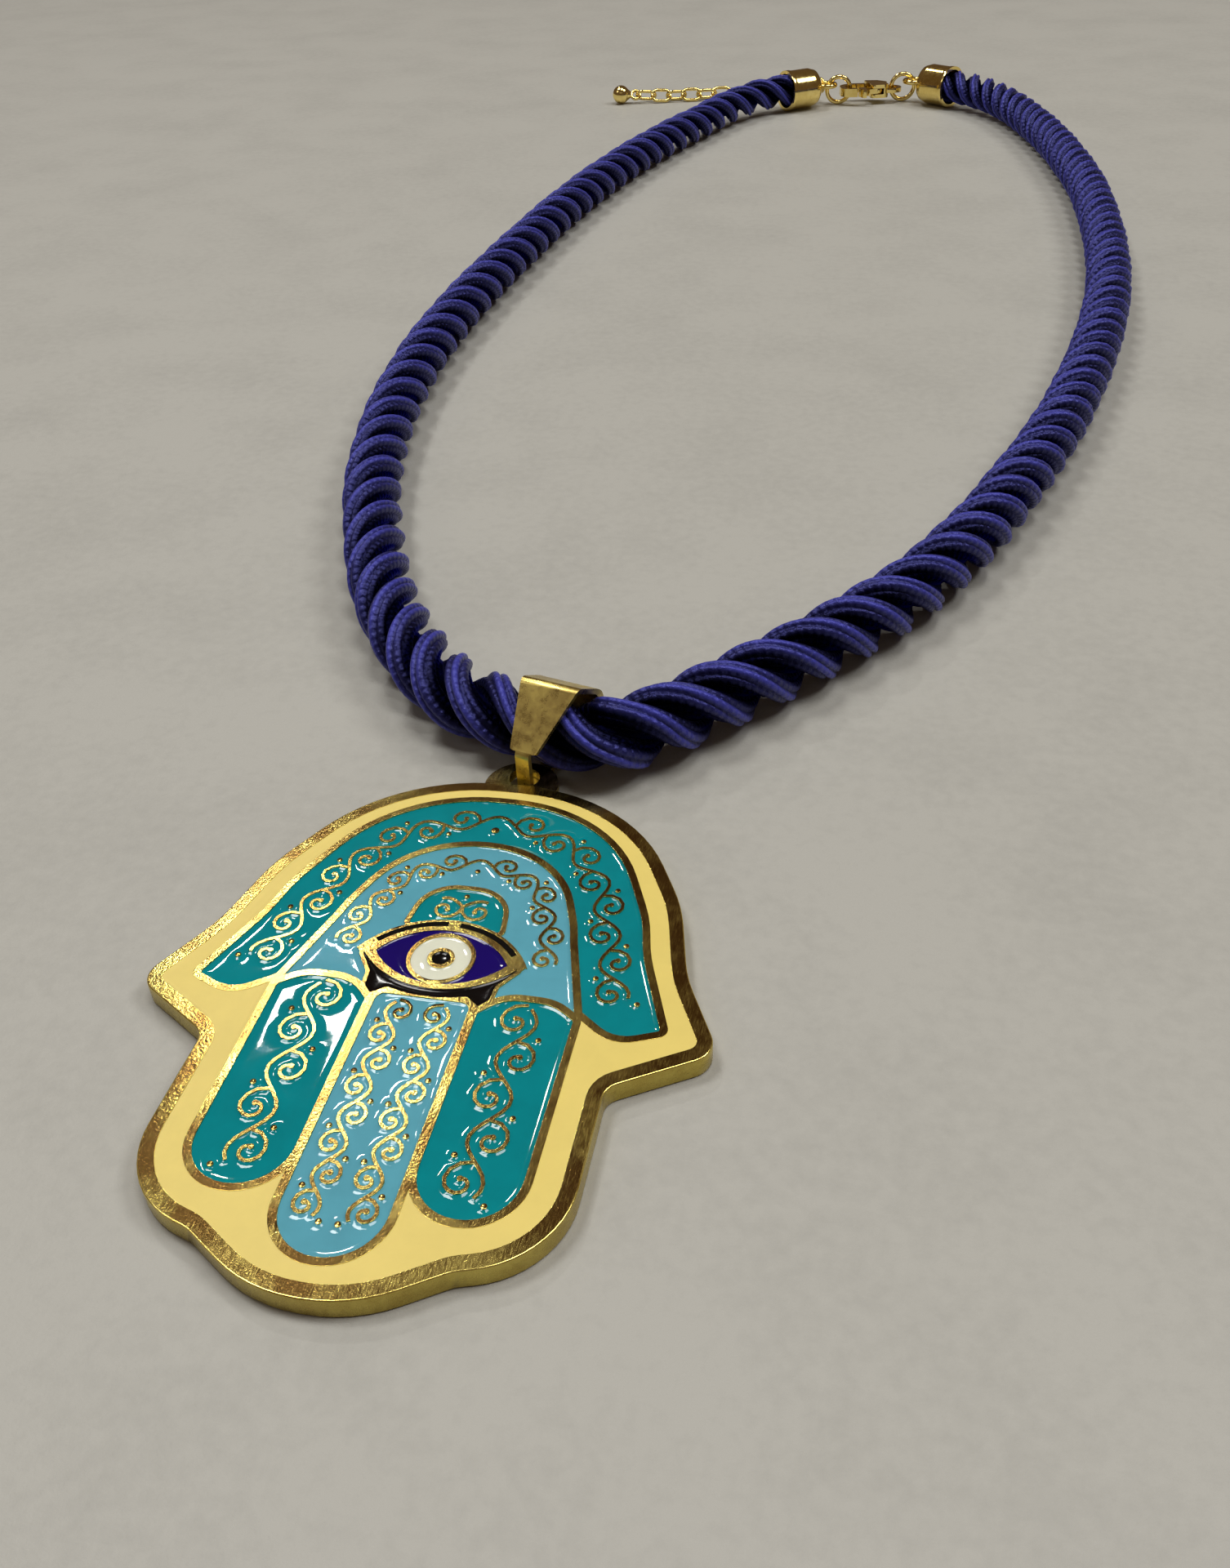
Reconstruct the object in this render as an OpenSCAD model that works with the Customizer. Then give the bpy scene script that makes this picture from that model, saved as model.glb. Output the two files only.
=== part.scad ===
// Hamsa pendant with an enamelled eye, on a twisted rope necklace.
// The pendant lies face up: X across the hand, Y towards the bail, Z up.
// The origin is under the middle of the eye, on the surface that the pendant rests on.

/* [Hand plate] */
// Width of the hand from wing tip to wing tip
hand_w = 36; // [32:0.5:42]
// Height of the hand without its lug
hand_h = 42.4; // [38:0.5:48]
// Thickness of the plate
plate_t = 1.5; // [1.2:0.05:2.4]
// Width of the polished rim around the hand
rim_w = 0.95; // [0.7:0.05:1.2]
// Width of the metal lines between the enamel fields
ridge_w = 0.5; // [0.35:0.05:0.6]
// Depth of the enamel recesses
recess_d = 0.55; // [0.4:0.05:0.8]
// How far the enamel lies below the metal lines
enamel_drop = 0.08; // [0.04:0.02:0.15]
// Gap between the enamel and the wall of its recess
fill_gap = 0.03; // [0.02:0.01:0.05]

/* [Eye] */
// Radius of the metal ring around the iris, outside
iris_ring_r = 2.22; // [1.9:0.02:2.3]
// Wall of the metal rings of the iris and the pupil
iris_wall = 0.28; // [0.2:0.02:0.36]
// Radius of the black pupil
pupil_r = 0.6; // [0.4:0.05:0.8]
// Width of the metal line above the black lines of the upper lid
lid_w = 0.2; // [0.2:0.05:0.35]
// Width of the black lines of the upper lid
liner_w = 0.4; // [0.2:0.02:0.44]

/* [Scroll work] */
// Width of the raised metal scrolls in the enamel
scroll_w = 0.22; // [0.18:0.02:0.3]
// Diameter of the raised metal dots
dot_d = 0.36; // [0.3:0.02:0.44]

/* [Lug and bail] */
// Thickness of the lug at the top of the hand
lug_t = 0.7; // [0.5:0.05:0.8]
// Width of the lug
lug_w = 5.5; // [4.8:0.1:6.5]
// How far the lug sits to the right of the hand's middle
lug_aside = 0.4; // [0:0.1:0.8]
// Radius of the hole through the lug
lug_hole_r = 1.15; // [1.05:0.05:1.3]
// Thickness of the bail's strip
bail_t = 0.45; // [0.35:0.05:0.5]
// Width of the bail where it goes through the lug
bail_neck_w = 1.1; // [1:0.1:1.4]
// Width of the bail's leaf at its lower end
bail_shoulder_w = 2.1; // [1.8:0.1:3]
// Width of the bail over the rope
bail_top_w = 5.1; // [4:0.1:6]
// Slope of the bail's flat leaf
bail_leaf_slope = 48; // [40:1:60]
// Length of the leaf above the place where it touches the rope
bail_leaf_up = 2.3; // [1.8:0.1:3]
// Length of the leaf below that place
bail_leaf_down = 2.6; // [2:0.1:3]
// Radius of the folds at the leaf's ends
bail_fold_r = 0.7; // [0.5:0.05:1]
// How far the bail lies to the right of the lug's middle
bail_aside = 0.3; // [0:0.05:0.4]
// How far the leaf's top leans over to the right
bail_skew = 0.75; // [0:0.05:0.9]
// Turn of the bail about the lug
bail_turn = 14; // [0:1:20]

/* [Rope and end caps] */
// Diameter of the rope
rope_d = 5.9; // [5.6:0.05:6.1]
// Gap between the rope and the metal around it
rope_gap = 0.1; // [0.05:0.05:0.15]
// Wall of the end caps
cap_wall = 0.45; // [0.3:0.05:0.6]
// Depth of the socket that holds the rope
cap_socket = 5; // [4:0.5:6]
// Length of the closed end of a cap
cap_crown = 2.5; // [2:0.25:3]
// Middle radius of the loop on a cap
loop_r = 1.7; // [1.65:0.05:1.8]
// Thickness of the loop's wire
loop_wire = 0.9; // [0.8:0.05:1]

/* [Clasp] */
// Middle radius of the jump rings
ring_r = 2.3; // [2.25:0.05:2.4]
// Thickness of the jump rings' wire
ring_wire = 0.8; // [0.7:0.05:0.85]
// Thickness of the clasp at its hinge
clasp_t = 2.4; // [2.2:0.1:2.6]
// Thickness of the clasp's hook
hook_t = 1.5; // [1.3:0.1:1.5]
// Width of the hook's bar
hook_w = 1.1; // [1:0.05:1.15]
// Thickness of the clasp's lever in its slot
lever_t = 0.9; // [0.7:0.05:1.1]
// Radius of the lever's pin
pin_r = 0.35; // [0.3:0.05:0.4]
// Running gap around the lever and its pin
lever_gap = 0.1; // [0.06:0.02:0.12]
// Radius of the hole in the clasp's eye
clasp_eye_r = 1.1; // [1:0.05:1.15]

/* [Extension chain] */
// Number of links
link_count = 13; // [8:1:13]
// Length of a link, outside
link_l = 4.4; // [4.2:0.1:4.6]
// Width of a link, outside
link_w = 3; // [2.9:0.05:3.2]
// Thickness of a link's wire
link_wire = 0.6; // [0.5:0.05:0.62]
// Radius of the drop at the end of the chain
drop_r = 1.7; // [1.4:0.1:2]

/* [Hidden] */

// Clearances
rest_gap = 0.05;      // what stands beside the plate, above the surface
link_gap = 0.08;      // between one link and the next
arc_sag = 0.012;      // how far a rounded corner's points let it fall short of a true arc
edge_use = 0.995;     // most of an edge that the rounding of its two ends takes

// Scales of the drawing of the hand: shares of half its width, and of its height
half_w = hand_w / 2;
round_unit = min(half_w, hand_h * 18 / 42.4);

// Rounded outlines of the right half, from the top down, in hundredths:
// [share of half the width, share of the height, radius as a share of half the width]
hand_corners = [[48.9, 42.8, 72], [79.5, 17.0, 78], [87.0, 2.2, 60], [102.9, -11.5, 9],
                [69.2, -20.0, 7], [69.6, -46.9, 33.3], [40.6, -50.5, 14], [15.4, -57.2, 50]];
arch_corners = [[42.2, 37.6, 59], [66.9, 12.7, 72], [69.7, 5.7, 83], [82.2, -8.8, 1],
                [68.0, -11.3, 12], [53.0, -6.6, 2]];
vault_corners = [[27.8, 25.9, 38.9], [41.4, 9.9, 70], [43.1, 6.6, 70], [52.8, -8.3, 1]];
brow_corners = [[17.2, 6.6, 1], [14.7, 15.3, 13.3]];
middle_finger_corners = [[16.7, -8.2, 3.3], [16.9, -51.5, 16.8]];
// Side fingers have their own full outline, right one: [across, along, radius]
side_finger_corners = [[20.0, -9.8, 1], [27.5, -6.5, 15], [44.5, -6.5, 15], [52.8, -9.0, 1.5],
                       [52.8, -43.4, 16.3], [20.0, -43.4, 16.3]];
// The eye: corners of its frame, and the black line with its two feet under it
eye_frame_corners = [[31.8, 0.6, 1.2], [23.9, -4.4, 2], [23.3, -8.0, 1]];
lower_lid_corners = [[28.9, -0.5, 0.6], [22.8, -4.3, 2], [22.4, -7.1, 1.2], [19.3, -8.6, 0.6],
                     [14.4, -7.0, 1.5], [6.0, -7.9, 30]];
eye_half_w = 0.243 * half_w;      // half width of the blue of the eye
eye_rise = 0.059 * hand_h;        // its height above the middle
eye_fall = 0.053 * hand_h;        // and below
lid_half_w = 0.314 * half_w;      // half width of the eye's metal frame
lid_rise = 0.0815 * hand_h;       // its height above the middle
under_half_w = 0.272 * half_w;    // half width of the black line's upper edge
under_top = -0.0094 * hand_h;     // height of its ends
under_fall = 0.0625 * hand_h;     // its depth below the middle
liner_from = 4;                   // degrees from the top where an upper line starts
liner_to = 50;                    // and where it ends

// Scroll work: middle lines of the vines, as corners like the outlines, and the lengths of
// their half waves
outer_vine_route = rounded(sized([[0, 32.1, 0], [35.8, 32.1, 50], [55, 11.4, 60], [57.2, 6.4, 60], [68, -7, 0]]));
inner_vine_route = rounded(sized([[0, 21.2, 0], [24, 21.2, 28], [35.5, 6.6, 60], [41.5, -6.5, 0]]));
middle_vine_route = sized([[7.8, -11.5, 0], [7.8, -50, 0]]);
side_vine_route = sized([[36.4, -10.6, 0], [36.4, -45, 0]]);
brow_vine_route = sized([[6.6, 11.4, 0], [20, 11.4, 0]]);
outer_wave = 0.061 * hand_h;
inner_wave = 0.0465 * hand_h;
middle_wave = 0.0475 * hand_h;
side_wave = 0.069 * hand_h;
brow_wave = 0.132 * half_w;
stem_rise = 0.29;                 // height of a vine's waves, as a share of a half wave
curl_off = 0.135;                 // how far a curl's middle lies off the route
curl_from = 165;                  // degrees at which a curl leaves the stem
curl_sweep = 395;                 // degrees that it turns through
curl_in = 0.115;                  // its radius at its end
curl_out = 0.405;                 // and what the radius is more at its start
curl_steps = 13;

// Lug, bail and rope
lug_z = rest_gap + bail_t + rest_gap;             // underside of the lug
lug_y = 0.436 * hand_h;
lug_hole_y = lug_y + 0.9;
bail_loop_r = rope_d / 2 + rope_gap;              // inside of the bail's loop
bail_r = bail_loop_r + bail_t;
rope_z = rope_d / 2 + rest_gap;                   // axis of the rope where it lies free
bail_z = bail_r + rest_gap;                       // axis of the rope in the bail
bail_in = sqrt(pow(lug_hole_r - rest_gap, 2) - pow(bail_neck_w / 2 + bail_aside, 2)) - rest_gap;
bail_front = (bail_r - bail_fold_r) * sin(bail_leaf_slope) + bail_leaf_down * cos(bail_leaf_slope)
    + bail_fold_r - bail_r;                       // how far the neck stands in front of the loop
bail_u0 = bail_front - bail_in;                   // front of the loop, from the hole's middle
bail_slant = 36;                                  // slope of the view that the leaf's outline is drawn in
bail_dir = [sin(bail_turn), cos(bail_turn)];
bail_across = [bail_dir[1], -bail_dir[0]];
bail_mid = [lug_aside, lug_hole_y] + bail_dir * (bail_u0 + bail_r) + bail_across * bail_aside;
bail_wide = bail_top_w / 2 + bail_skew;           // from the loop's middle to the leaf's far side

// End caps, standing on their side on the surface
cap_r = rope_d / 2 + rope_gap + cap_wall;
cap_lip = 0.12;
cap_z = cap_r + cap_lip + rest_gap;
cap_l = cap_socket + cap_crown;
loop_at = cap_l + 0.25 + loop_r;                  // loop's middle, from the cap's mouth

// Route of the rope from the left cap's socket to the right one's, chosen by hand
rope_route = concat(
    [[0, 244, cap_z], [-8, 238, cap_z], [-13, 230.5, 3.3], [-17.5, 218, rope_z], [-21.5, 205, rope_z],
     [-25, 191, rope_z], [-28, 175, rope_z], [-30.2, 158, rope_z], [-31.6, 141, rope_z],
     [-32.6, 124, rope_z], [-32.9, 108, rope_z], [-32.2, 93, rope_z], [-30.2, 78, rope_z],
     [-27, 64, rope_z], [-22.4, 51, rope_z], [-17.3, 40, rope_z], [-12, 32, 3.1],
     [-6.5, 26.3, 3.4]],
    [for (s = [-1, 1]) let (p = bail_mid + s * (bail_wide + 2 * rest_gap) * bail_across) [p[0], p[1], bail_z]],
    [[6.9, 22.8, 3.5], [9.6, 25.3, 3.2], [13.8, 29.9, 3.1], [20, 37.6, rope_z], [26.5, 46.6, rope_z], [32, 57.5, rope_z],
     [36.6, 70, rope_z], [41, 84, rope_z], [44.6, 99, rope_z], [47.4, 114, rope_z],
     [49.3, 129, rope_z], [50.2, 145, rope_z], [50.2, 161, rope_z], [49.5, 177, rope_z],
     [47.8, 192, rope_z], [45.4, 207, rope_z], [42.2, 221, rope_z], [38, 233, 3.3],
     [32, 242, cap_z], [24, 248, cap_z]]);
rope_sides = 12;
rope_last = len(rope_route) - 1;

// Where the caps lie: their mouths, and the directions that they point in
left_dir = unit(flat(rope_route[0] - rope_route[1]));
right_dir = unit(flat(rope_route[rope_last] - rope_route[rope_last - 1]));
left_mouth = flat(rope_route[0]) - left_dir * cap_socket;
right_mouth = flat(rope_route[rope_last]) - right_dir * cap_socket;
left_loop = left_mouth + left_dir * loop_at;
right_loop = right_mouth + right_dir * loop_at;

// Clasp: it lies on the line between the two loops, carried by two standing rings
clasp_dir = unit(left_loop - right_loop);         // from the clasp's eye to its hook
clasp_turn = atan2(clasp_dir[1], clasp_dir[0]);
ring_z = ring_r + ring_wire / 2 + rest_gap;
clasp_z = ring_z - 0.35;                          // middle of the clasp's thickness
ring_in = ring_r - ring_wire / 2;
loop_off = sqrt(pow(ring_r, 2) - pow(cap_z - ring_z, 2));     // from a ring's middle to its loop's
ring_shift = 0.35;                                // the left ring stands off its loop's middle
eye_off = ring_r - 0.15;                          // from the right ring's middle to the clasp's eye
clasp_eye_web = 0.8;
clasp_eye_t = 0.8;
hook_drop = ring_z - clasp_z + hook_t / 2;        // lowest corner of the hook below the ring's middle
hook_in = sqrt(pow(ring_in - lever_gap, 2) - pow(hook_drop, 2));
left_ring_mid = left_loop - clasp_dir * (loop_off + ring_shift);
right_ring_mid = right_loop + clasp_dir * loop_off;
clasp_eye = right_ring_mid + clasp_dir * eye_off;
hook_end = left_ring_mid - clasp_dir * (hook_in - hook_w);
reach = norm(hook_end - clasp_eye);               // from the clasp's eye to the end of its hook
pin_at = [3.0, 0.5];
slot_t = lever_t + 2 * lever_gap;
hub_r = 1.05;

// Extension chain: route of its middle line, chosen by hand after its first point
link_pitch = link_l - 2 * link_wire - link_gap;
chain_z = (link_w - link_wire) / 2 * sin(45) + link_wire / 2 + rest_gap;
back_dir = unit([clasp_dir[1], -clasp_dir[0]] + 0.6 * clasp_dir);
chain_from = left_loop + back_dir * (loop_r - loop_wire / 2 - link_gap);
chain_route = [[chain_from[0], chain_from[1], cap_z], [0.2, 250.1, 2.1], [-2.6, 252.1, chain_z],
               [-7, 253.2, chain_z], [-13, 252.5, chain_z], [-22, 250.4, chain_z], [-30, 248.6, chain_z],
               [-38, 247, drop_r + rest_gap]];
first_rolls = [0, 0, 80, -30];   // turns of the first links about their length, then 45 degrees
drop_eye_r = 0.9;

function flat(p) = [p[0], p[1]];
function unit(v) = v / norm(v);
function cross2(a, b) = a[0] * b[1] - a[1] * b[0];
function sum(v, i = 0) = i < len(v) ? v[i] + sum(v, i + 1) : 0;

// A table of shares as corners in millimetres: [x, y, radius]
function sized(t) = [for (c = t) [c[0] / 100 * half_w, c[1] / 100 * hand_h, c[2] / 100 * round_unit]];
// The right half of an outline with its mirror image
function both(t) = concat(t, [for (i = [len(t) - 1:-1:0]) [-t[i][0], t[i][1], t[i][2]]]);
function mirrored(t) = [for (i = [len(t) - 1:-1:0]) [-t[i][0], t[i][1], t[i][2]]];
function winding(c) = sign(sum([for (i = [0:len(c) - 1]) cross2(c[i], c[(i + 1) % len(c)])]));

// Corners of an outline whose edges all move outwards by d
function moved(c, d) = let (n = len(c), s = winding(c)) [
    for (i = [0:n - 1]) let (
        p = flat(c[i]),
        u = unit(p - flat(c[(i + n - 1) % n])),
        v = unit(flat(c[(i + 1) % n]) - p),
        a = p + s * d * [u[1], -u[0]],
        b = p + s * d * [v[1], -v[0]],
        turn = cross2(u, v),
        q = abs(turn) < 0.001 ? a : a + u * cross2(b - a, v) / turn)
    [q[0], q[1], max(0, c[i][2] + (s * turn > 0 ? d : -d))]];

// Corners whose radii are cut back where two neighbours need more than the edge between them
function fitted(c) = let (
    n = len(c),
    edge = [for (i = [0:n - 1]) flat(c[(i + 1) % n]) - flat(c[i])],
    need = [for (i = [0:n - 1]) let (u = unit(-edge[(i + n - 1) % n]), v = unit(edge[i]))
        c[i][2] / tan(acos(max(-1, min(1, u * v))) / 2)],
    share = [for (i = [0:n - 1]) edge_use * norm(edge[i]) / max(rest_gap, need[i] + need[(i + 1) % n])])
    [for (i = [0:n - 1]) [c[i][0], c[i][1], c[i][2] * min(1, share[i], share[(i + n - 1) % n])]];

// Points of an outline whose corners are rounded with arcs
function rounded(c) = let (n = len(c)) [
    for (i = [0:n - 1]) let (
        p = flat(c[i]),
        u = unit(flat(c[(i + n - 1) % n]) - p),
        v = unit(flat(c[(i + 1) % n]) - p),
        half = acos(max(-1, min(1, u * v))) / 2,
        r = c[i][2])
    each r < 0.02 || half > 89.5 ? [p] : let (
        mid = p + unit(u + v) * r / sin(half),
        from = p + u * r / tan(half) - mid,
        a0 = atan2(from[1], from[0]),
        way = sign(cross2(v, u)),
        sweep = 180 - 2 * half,
        steps = max(2, ceil(sweep / min(24, 2 * acos(max(0.5, 1 - arc_sag / r))))))
    [for (k = [0:steps]) mid + r * [cos(a0 + way * sweep * k / steps), sin(a0 + way * sweep * k / steps)]]];

module blob(corners, grow = 0) {
    polygon(rounded(moved(fitted(corners), grow)));
}

// The circle through (half width, 0) and (0, rise)
function arc_r(w, rise) = (w * w + rise * rise) / (2 * rise);

// Flat shapes of the fields, each grown by g on all sides

module hand_2d(g) {
    blob(both(sized(hand_corners)), g);
}

module arch_2d(g) {
    blob(both(sized(arch_corners)), g);
}

module vault_2d(g) {
    blob(both(sized(vault_corners)), g);
}

module brow_2d(g) {
    blob(both(sized(brow_corners)), g);
}

module middle_finger_2d(g) {
    blob(both(sized(middle_finger_corners)), g);
}

module right_finger_2d(g) {
    blob(sized(side_finger_corners), g);
}

module left_finger_2d(g) {
    blob(mirrored(sized(side_finger_corners)), g);
}

module lid_disc(g) {
    r = arc_r(lid_half_w, lid_rise);
    translate([0, lid_rise - r]) circle(r = r + g, $fn = 180);
}

// Metal frame around the eye: the upper lid's arc and the slanted sides below it
module eye_frame_2d(g) {
    intersection() {
        lid_disc(g);
        translate([-half_w, 0]) square([2 * half_w, hand_h]);
    }
    blob(both(sized(eye_frame_corners)), g);
}

// Blue of the eye, both sides together with the iris
module almond_2d(g) {
    up = arc_r(eye_half_w, eye_rise);
    down = arc_r(eye_half_w, eye_fall);
    intersection() {
        translate([0, eye_rise - up]) circle(r = up + g, $fn = 180);
        translate([0, down - eye_fall]) circle(r = down + g, $fn = 180);
    }
}

module lower_lid_2d(g) {
    r = arc_r(under_half_w, under_fall + under_top);
    difference() {
        blob(both(sized(lower_lid_corners)), g);
        translate([0, r - under_fall]) circle(r = r - g, $fn = 180);
    }
}

module upper_lid_2d(side, g) {
    r = arc_r(lid_half_w, lid_rise);
    mid = r - lid_w - liner_w / 2;
    translate([0, lid_rise - r])
        arc_stroke(mid, 90 - side * liner_from, 90 - side * liner_to, liner_w + 2 * g);
}

// A stretch of a ring: middle radius, start and end in degrees, width
module arc_stroke(r, a0, a1, w) {
    n = max(3, ceil(abs(a1 - a0) / 5));
    polygon(concat(
        [for (k = [0:n]) (r + w / 2) * [cos(a0 + (a1 - a0) * k / n), sin(a0 + (a1 - a0) * k / n)]],
        [for (k = [n:-1:0]) (r - w / 2) * [cos(a0 + (a1 - a0) * k / n), sin(a0 + (a1 - a0) * k / n)]]));
}

// A stroke of width w through the points, longer by g at both ends, as one outline
function stroke(pts, w, g) = let (
    n = len(pts) - 1,
    dir = [for (i = [0:n]) unit(pts[min(n, i + 1)] - pts[max(0, i - 1)])],
    mid = [for (i = [0:n]) pts[i] + (i == 0 ? -g : i == n ? g : 0) * dir[i]],
    side = [for (d = dir) w / 2 * [-d[1], d[0]]])
    concat([for (i = [0:n]) mid[i] + side[i]], [for (i = [n:-1:0]) mid[i] - side[i]]);

// The point at the distance s along a flat route and v to its left
function beside(route, s, v) = let (
    a = along(route, s - 0.3), b = along(route, s + 0.3), d = unit(flat(b) - flat(a)))
    flat(a + b) / 2 + v * [-d[1], d[0]];

// A vine whose half waves have the length l: its stem from u0, with curls from k0 to k1 and
// dots between them up to the given one
module vine(route, l, u0, k0, k1, dots, g) {
    w = scroll_w + 2 * g;
    polygon(stroke([for (u = [u0:1/6:k1 + 0.3]) beside(route, u * l, l * stem_rise * cos(180 * u))], w, g));
    for (k = [k0:k1]) {
        way = k % 2 == 0 ? 1 : -1;
        curl = [for (j = [0:curl_steps]) let (
            t = j / curl_steps,
            r = curl_in + curl_out * pow(1 - t, 2.2),
            a = curl_from + curl_sweep * t)
            beside(route, l * (k + r * cos(a)), l * way * (r * sin(a) - curl_off))];
        polygon(stroke(curl, w, g));
        translate(curl[curl_steps]) circle(r = scroll_w * 0.8 + g, $fn = 13);
        if (k <= dots) translate(beside(route, l * (k + 0.4), l * way * 0.43)) circle(r = dot_d / 2 + g, $fn = 13);
    }
}

module outer_scrolls_2d(g) {
    for (m = [0, 1]) mirror([m, 0]) vine(outer_vine_route, outer_wave, 0, 1, 8, 8, g);
    translate([0, outer_vine_route[0][1] - outer_wave * 0.3]) circle(r = dot_d * 0.8 + g, $fn = 24);
}

module inner_scrolls_2d(g) {
    for (m = [0, 1]) mirror([m, 0]) vine(inner_vine_route, inner_wave, 0, 1, 6, 3, g);
    translate([0, inner_vine_route[0][1] - inner_wave * 0.3]) circle(r = dot_d / 2 + g, $fn = 20);
}

module middle_scrolls_2d(g) {
    for (m = [0, 1]) mirror([m, 0]) vine(middle_vine_route, middle_wave, -0.4, 0, 7, 7, g);
}

module right_scrolls_2d(g) {
    vine(side_vine_route, side_wave, -0.4, 0, 4, 4, g);
}

module left_scrolls_2d(g) {
    mirror([1, 0]) right_scrolls_2d(g);
}

module brow_scrolls_2d(g) {
    for (m = [0, 1]) mirror([m, 0]) vine(brow_vine_route, brow_wave, -0.5, 0, 0, -1, g);
    translate([0, brow_vine_route[0][1] + brow_wave * 0.42]) circle(r = dot_d / 2 + g, $fn = 20);
}

// Enamel solids: they fill a recess up to a little under the metal
module enamel() {
    translate([0, 0, plate_t - recess_d + fill_gap])
        linear_extrude(recess_d - fill_gap - enamel_drop) children();
}

module border_cell(g) {
    difference() {
        hand_2d(-rim_w - g);
        arch_2d(ridge_w + g);
        vault_2d(ridge_w + g);
        eye_frame_2d(ridge_w + g);
        left_finger_2d(ridge_w + g);
        right_finger_2d(ridge_w + g);
        middle_finger_2d(ridge_w + g);
    }
}

module outer_arch_cell(g) {
    difference() {
        arch_2d(-g);
        vault_2d(ridge_w + g);
        left_finger_2d(ridge_w + g);
        right_finger_2d(ridge_w + g);
    }
}

module inner_arch_cell(g) {
    difference() {
        vault_2d(-g);
        eye_frame_2d(g);
        brow_2d(ridge_w * 0.7 + g);
        left_finger_2d(ridge_w + g);
        right_finger_2d(ridge_w + g);
        middle_finger_2d(ridge_w + g);
        lower_lid_2d(ridge_w / 2 + g);
    }
}

module brow_cell(g) {
    difference() {
        brow_2d(-g);
        lid_disc(g);
    }
}

module eye_cell(side, g) {
    difference() {
        almond_2d(-g);
        circle(r = iris_ring_r + g, $fn = 96);
        translate([side > 0 ? -half_w : 0, -half_w]) square([half_w, 2 * half_w]);
    }
}

module iris_cell(g) {
    difference() {
        circle(r = iris_ring_r - iris_wall - g, $fn = 96);
        circle(r = pupil_r + iris_wall + g, $fn = 64);
    }
}

// All the recesses
module fields_2d() {
    border_cell(0);
    outer_arch_cell(0);
    inner_arch_cell(0);
    brow_cell(0);
    left_finger_2d(0);
    right_finger_2d(0);
    middle_finger_2d(0);
    eye_cell(-1, 0);
    eye_cell(1, 0);
    iris_cell(0);
    circle(r = pupil_r, $fn = 48);
    upper_lid_2d(-1, 0);
    upper_lid_2d(1, 0);
    lower_lid_2d(0);
}

module hand_plate() {
    color("gold") {
        difference() {
            linear_extrude(plate_t) hand_2d(0);
            translate([0, 0, plate_t - recess_d]) linear_extrude(recess_d + 1) difference() {
                fields_2d();
                outer_scrolls_2d(0);
                inner_scrolls_2d(0);
                brow_scrolls_2d(0);
                middle_scrolls_2d(0);
                right_scrolls_2d(0);
                left_scrolls_2d(0);
            }
        }
        lug();
    }
}

// The lug is thinner than the hand, so that the bail passes under it
module lug() {
    difference() {
        translate([lug_aside, lug_y, lug_z]) cylinder(r = lug_w / 2, h = lug_t, $fn = 96);
        translate([lug_aside, lug_hole_y, 0]) cylinder(r = lug_hole_r, h = plate_t, $fn = 64);
        linear_extrude(plate_t) hand_2d(-rim_w / 2);
    }
}

module border_enamel() {
    color("khaki") enamel() border_cell(fill_gap);
}

module outer_arch_enamel() {
    color("darkcyan") enamel() difference() {
        outer_arch_cell(fill_gap);
        outer_scrolls_2d(fill_gap);
    }
}

module inner_arch_enamel() {
    color("cadetblue") enamel() difference() {
        inner_arch_cell(fill_gap);
        inner_scrolls_2d(fill_gap);
    }
}

module brow_enamel() {
    color("darkcyan") enamel() difference() {
        brow_cell(fill_gap);
        brow_scrolls_2d(fill_gap);
    }
}

module left_finger_enamel() {
    color("darkcyan") enamel() difference() {
        left_finger_2d(-fill_gap);
        left_scrolls_2d(fill_gap);
    }
}

module right_finger_enamel() {
    color("darkcyan") enamel() difference() {
        right_finger_2d(-fill_gap);
        right_scrolls_2d(fill_gap);
    }
}

module middle_finger_enamel() {
    color("cadetblue") enamel() difference() {
        middle_finger_2d(-fill_gap);
        middle_scrolls_2d(fill_gap);
    }
}

module left_eye_enamel() {
    color("midnightblue") enamel() eye_cell(-1, fill_gap);
}

module right_eye_enamel() {
    color("midnightblue") enamel() eye_cell(1, fill_gap);
}

module iris_enamel() {
    color("ivory") enamel() iris_cell(fill_gap);
}

module pupil_enamel() {
    color("black") enamel() circle(r = pupil_r - fill_gap, $fn = 48);
}

module left_lid_enamel() {
    color("black") enamel() upper_lid_2d(-1, -fill_gap);
}

module right_lid_enamel() {
    color("black") enamel() upper_lid_2d(1, -fill_gap);
}

module lower_lid_enamel() {
    color("black") enamel() lower_lid_2d(-fill_gap);
}

// Side view of the bail, x away from the lug and y up: a loop round the rope with a flat leaf
// before it, and square where the strip turns in the lug's hole
module bail_side(inset) {
    touch = (bail_r - bail_fold_r) * [-sin(bail_leaf_slope), cos(bail_leaf_slope)];
    along = [cos(bail_leaf_slope), sin(bail_leaf_slope)];
    foot = touch - bail_leaf_down * along;
    translate([bail_r, bail_z]) hull() {
        circle(r = bail_r - inset, $fn = 120);
        for (place = [touch + bail_leaf_up * along, foot, [foot[0], bail_fold_r - bail_r]])
            translate(place) circle(r = bail_fold_r - inset, $fn = 48);
    }
}

// Outline of the bail in a slanting view, from the middle of its loop: a leaf that widens to
// the top, and a neck below it
module bail_leaf_2d() {
    view = bail_leaf_slope + bail_slant;
    low = bail_r * cos(view) - bail_leaf_down * sin(view);
    blob(concat(
        [for (s = [-1, 1]) [s * bail_neck_w / 2, -3 * bail_r, 0.02]],
        [[bail_neck_w / 2, low, 0.08], [bail_shoulder_w / 2, low, 0.3]],
        [for (s = [1, -1]) [s * bail_top_w / 2 - bail_skew, bail_r + bail_t, 0.02]],
        [[-bail_shoulder_w / 2, low, 0.3], [-bail_neck_w / 2, low, 0.08]]));
}

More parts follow.
